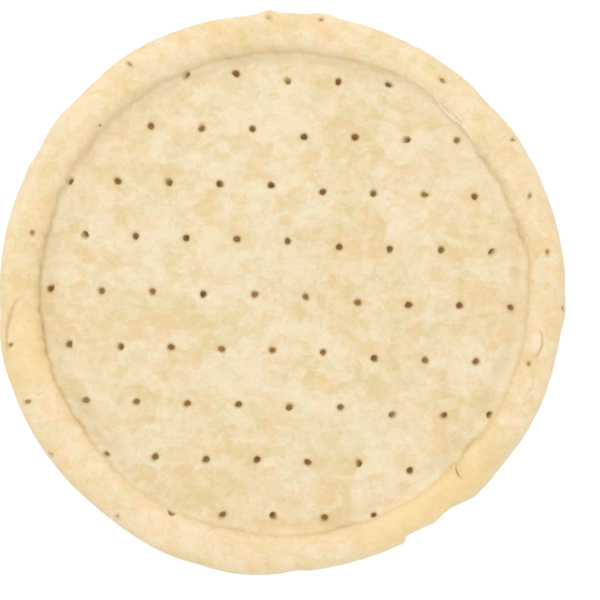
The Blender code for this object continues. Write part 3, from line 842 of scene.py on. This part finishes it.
class Shader:
    """Builds a material's nodes. Most methods return the socket that carries the result."""

    LAYER_SHIFT = (1.7, -1.1, 0.6)      # between the places of one layer and of the next

    def __init__(self, name):
        self.material = bpy.data.materials.new(name)
        self.material.use_nodes = True
        self.tree = self.material.node_tree
        self.surface = self.tree.nodes["Principled BSDF"]
        self.place = self.add("ShaderNodeTexCoord").outputs["Object"]
        self.layers = 0

    def add(self, kind, inputs=(), **settings):
        made = self.tree.nodes.new(kind)
        for key, value in settings.items():
            setattr(made, key, value)
        for key, value in inputs:
            if isinstance(value, bpy.types.NodeSocket):
                self.tree.links.new(value, made.inputs[key])
            else:
                made.inputs[key].default_value = value
        return made

    def attribute(self, name):
        return self.add("ShaderNodeAttribute", attribute_name=name).outputs["Fac"]

    def moved(self, place):
        """The place, moved differently for each layer, so that no two layers are alike."""
        self.layers += 1
        shift = tuple(self.layers * step for step in self.LAYER_SHIFT)
        return self.add("ShaderNodeMapping", (("Vector", place or self.place),
                                              ("Location", shift))).outputs[0]

    def noise(self, scale, detail=2.0, place=None):
        return self.add("ShaderNodeTexNoise", (
            ("Vector", self.moved(place)), ("Scale", scale), ("Detail", detail)))

    def cloud(self, scale, detail=2.0, place=None):
        """Noise around 0.5."""
        return self.noise(scale, detail, place).outputs["Fac"]

    def cells(self, scale, feature, place):
        return self.add("ShaderNodeTexVoronoi", (("Vector", self.moved(place)), ("Scale", scale)),
                        feature=feature)

    def warped(self, scale, reach):
        """The place, pushed about by up to half a reach."""
        push = self.noise(scale).outputs["Color"]
        return self.add("ShaderNodeVectorMath", (
            (0, push), (1, (reach, reach, reach)), (2, self.place)),
            operation="MULTIPLY_ADD").outputs[0]

    def stretched(self, x, y, turn, place=None):
        return self.add("ShaderNodeMapping", (
            ("Vector", place or self.place), ("Rotation", (0.0, 0.0, math.radians(turn))),
            ("Scale", (x, y, 1.0)))).outputs[0]

    def between(self, value, low, high, bottom=0.0, top=1.0):
        made = self.add("ShaderNodeMapRange", (
            ("Value", value), ("From Min", low), ("From Max", high), ("To Min", bottom),
            ("To Max", top)), interpolation_type="SMOOTHSTEP")
        return made.outputs["Result"]

    def patches(self, scale, softness, detail=2.0, place=None, middle=0.5):
        """A cloud drawn out to 0 and 1 on the two sides of its middle, with soft edges between."""
        cloud = self.cloud(scale, detail, place)
        return self.between(cloud, middle - softness, middle + softness)

    def times(self, a, b):
        return self.add("ShaderNodeMath", ((0, a), (1, b)), operation="MULTIPLY").outputs[0]

    def total(self, start, *terms):
        """Start plus each value times its weight."""
        result = start
        for value, weight in terms:
            made = self.add("ShaderNodeMath", ((0, value), (1, weight), (2, result)),
                            operation="MULTIPLY_ADD")
            result = made.outputs[0]
        return result

    def mix(self, share, a, b):
        made = self.add("ShaderNodeMix", ((0, share), (6, a), (7, b)), data_type="RGBA")
        return made.outputs[2]

    def covered(self, shown, *covers):
        """A colour covered in turn by others, each given with the share that it takes."""
        for share, tint in covers:
            shown = self.mix(share, shown, colour(*tint))
        return shown

    def lit(self, shown, factor):
        """A colour made lighter or darker."""
        return self.add("ShaderNodeVectorMath", ((0, shown), ("Scale", factor)),
                        operation="SCALE").outputs[0]


def ovals(s, scale, place):
    """Rounded patches in some of the cells."""
    cell = s.cells(scale, "F1", place)
    chosen = s.between(cell.outputs["Color"], 0.46, 0.50)
    return s.times(s.between(cell.outputs["Distance"], 0.36, 0.29), chosen)


def wrinkles(s, scale, width, place):
    """Thin broken lines."""
    line = s.between(s.cells(scale, "DISTANCE_TO_EDGE", place).outputs["Distance"], width, 0.0)
    return s.times(line, s.patches(0.9 * scale, 0.06, 1.0, middle=0.54))


def base_colour(s, warped):
    """Floury cream, now pinkish, now greenish, over golden tan in patches, ovals and spots."""
    gold = s.total(
        -0.16,
        (s.patches(22.0, 0.12, 1.0), 0.30),
        (s.patches(55.0, 0.022, 1.0, s.stretched(0.8, 1.0, 12.0, warped)), 0.38),
        (s.patches(110.0, 0.025, 1.5, warped), 0.34),
        (s.patches(240.0, 0.06, 2.0, warped), 0.22),
        (ovals(s, 60.0, s.stretched(0.8, 1.1, 30.0, s.warped(150.0, 0.007))), 0.44),
        (wrinkles(s, 120.0, 0.06, warped), -0.35))
    pink = s.total(0.0, (s.patches(170.0, 0.06), 0.65), (s.patches(45.0, 0.08), 0.35))
    flour = s.mix(pink, colour(243, 231, 195), colour(250, 229, 195))
    tan = s.mix(s.patches(60.0, 0.06, 1.0), colour(240, 212, 162), colour(234, 212, 159))
    return s.covered(
        s.mix(gold, flour, tan),
        (s.times(wrinkles(s, 62.0, 0.10, warped), 0.2), (251, 237, 206)),
        (s.times(wrinkles(s, 75.0, 0.11, warped), 0.16), (220, 198, 156)))


def rim_colour(s, warped):
    """Warmer than the base, with golden and a few orange spots, and plainer where it is puffed."""
    gold = s.total(
        -0.12,
        (s.patches(24.0, 0.12, 1.0), 0.26),
        (s.patches(75.0, 0.035, 1.0, warped), 0.34),
        (s.patches(140.0, 0.04, 1.5, warped), 0.30),
        (s.patches(280.0, 0.08, 2.0, warped), 0.18),
        (wrinkles(s, 130.0, 0.06, warped), -0.35))
    flour = s.mix(s.patches(170.0, 0.06), colour(248, 231, 191), colour(253, 228, 191))
    tan = s.mix(s.patches(110.0, 0.05, 1.0), colour(245, 213, 161), colour(239, 214, 157))
    orange = s.between(s.cloud(150.0, 2.0, warped), 0.64, 0.72, 0.0, 0.5)
    plain = s.covered(s.mix(gold, flour, tan), (orange, (244, 209, 148)))
    puffed = s.mix(s.patches(40.0, 0.12), colour(248, 218, 162), colour(251, 227, 175))
    return s.mix(s.attribute("smooth"), plain, puffed)


def make_dough():
    """Pale dough: floury cream base, warmer rim; painted light and shade at the crease, lines and rim's
    side; painted shade in holes.
    """
    s = Shader("pale_dough")
    warped = s.warped(90.0, 0.005)
    shown = s.mix(s.attribute("rim"), base_colour(s, warped), rim_colour(s, warped))

    # painted shadow line in the crease, broken up
    broken_shadow = s.total(0.45, (s.patches(260.0, 0.12), 0.55))
    # painted shade band beside the crease, mottled
    mottled_shade = s.total(0.45, (s.patches(110.0, 0.08, 2.0, warped), 0.55))
    line = s.times(s.attribute("line"), broken_shadow)
    shade_band = s.times(s.attribute("shade_band"), mottled_shade)
    freckles = s.between(s.cloud(480.0, 1.0), 0.72, 0.77, 0.0, 0.3)
    shown = s.covered(
        shown,
        (s.between(s.attribute("patch"), 0.0, 1.0, 0.0, 0.6), (240, 208, 149)),
        (s.between(s.attribute("patch"), 0.0, -1.0, 0.0, 0.7), (254, 235, 207)),
        # painted fill light that lifts the crease's shade
        (s.attribute("corner"), (251, 235, 199)),
        # painted shade beside the crease
        (s.times(shade_band, 0.36), (219, 199, 163)),
        # painted shadow line in the sharp crease
        (s.times(line, 0.75), (196, 168, 114)),
        # paler floury dough and painted light on the rim's outer side
        (s.attribute("side"), (251, 237, 211)),
        # painted highlight on the ridges
        (s.between(s.attribute("crest_light_and_shade"), 0.1, 1.0, 0.0, 0.5), (252, 235, 200)),
        # painted shade in the grooves
        (s.between(s.attribute("crest_light_and_shade"), -0.1, -0.8, 0.0, 0.6), (212, 184, 134)),
        (freckles, (212, 190, 150)))

    grain = s.cloud(1500.0)
    streaks = s.cloud(360.0, 2.0, s.stretched(0.35, 1.0, 8.0))
    shade = s.total(
        0.81,
        (s.cloud(600.0), 0.16),
        (streaks, 0.10),
        (s.cloud(190.0), 0.06),
        (grain, 0.02))
    shown = s.covered(
        s.lit(shown, shade),
        # painted brown shade down each hole and round its mouth
        (s.between(s.attribute("hollow"), 0.0, 0.9), (190, 157, 100)),
        (s.between(s.attribute("hollow"), 0.9, 1.8), (148, 115, 65)))
    s.tree.links.new(shown, s.surface.inputs["Base Color"])

    rough = s.between(s.cloud(200.0), 0.3, 0.7, 0.72, 0.86)
    s.tree.links.new(rough, s.surface.inputs["Roughness"])
    fine = s.total(0.0, (grain, 0.25), (s.cloud(520.0, 3.0), 1.0))
    bump = s.add("ShaderNodeBump", (("Height", fine), ("Strength", 0.25), ("Distance", 0.0003)))
    s.tree.links.new(bump.outputs[0], s.surface.inputs["Normal"])
    s.surface.inputs["Specular IOR Level"].default_value = 0.25
    return s.material


WHITE = (1.0, 1.0, 1.0, 1.0)
FLOOR_SIZE = 40.0           # so wide that no low view reaches its edge
FLOOR_COLOUR = (0.2, 0.2, 0.2, 1.0)
FLOOR_ROUGHNESS = 0.9
FLOOR_GLOW = 0.87           # keeps it white right up to the crust, like the photo's ground
SKY_STRENGTH = 0.68
LAMPS = (                   # place, width across, and power in watts
    ((0.0, 0.0, 1.5), 0.9, 5.4),
    ((-0.30, 1.20, 1.25), 0.7, 4.7),
)


def make_floor():
    bpy.ops.mesh.primitive_plane_add(size=FLOOR_SIZE)
    floor = bpy.context.object
    floor.name = "floor"
    paint = bpy.data.materials.new("white_floor")
    paint.use_nodes = True
    shader = paint.node_tree.nodes["Principled BSDF"]
    shader.inputs["Base Color"].default_value = FLOOR_COLOUR
    shader.inputs["Roughness"].default_value = FLOOR_ROUGHNESS
    shader.inputs["Emission Color"].default_value = WHITE
    shader.inputs["Emission Strength"].default_value = FLOOR_GLOW
    floor.data.materials.append(paint)


def make_light():
    world = bpy.data.worlds.new("studio")
    bpy.context.scene.world = world
    world.use_nodes = True
    sky = world.node_tree.nodes["Background"]
    sky.inputs["Color"].default_value = WHITE
    sky.inputs["Strength"].default_value = SKY_STRENGTH
    for place, width, power in LAMPS:
        lamp = bpy.data.lights.new("softbox", "AREA")
        lamp.shape = "DISK"
        lamp.size = width
        lamp.energy = power
        softbox = bpy.data.objects.new("softbox", lamp)
        softbox.location = place
        softbox.rotation_euler = Vector(place).to_track_quat("Z", "Y").to_euler()
        bpy.context.scene.collection.objects.link(softbox)


# The photograph looks straight down. Its middle is a little right of and below the crust's middle.
CAMERA_HEIGHT = 0.78
PIXEL = 0.0005408           # metres that a pixel covers at the height of the rim's widest line
PHOTO_SIZE = 600
CRUST_AT = (282.75, 292.6)  # pixel where the crust's middle shows


def make_camera():
    data = bpy.data.cameras.new("camera")
    camera = bpy.data.objects.new("camera", data)
    bpy.context.scene.collection.objects.link(camera)
    middle = PHOTO_SIZE / 2.0
    camera.location = ((middle - CRUST_AT[0]) * PIXEL, (CRUST_AT[1] - middle) * PIXEL, CAMERA_HEIGHT)
    half_view = middle * PIXEL / (CAMERA_HEIGHT - RIM_LINE_HEIGHT)
    data.lens = data.sensor_width / 2.0 / half_view
    bpy.context.scene.camera = camera


crust = make_crust()
crust.data.materials.append(make_dough())
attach(crust, "root")
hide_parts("crust")
make_floor()
make_light()
make_camera()
bpy.context.scene.view_settings.view_transform = "Standard"
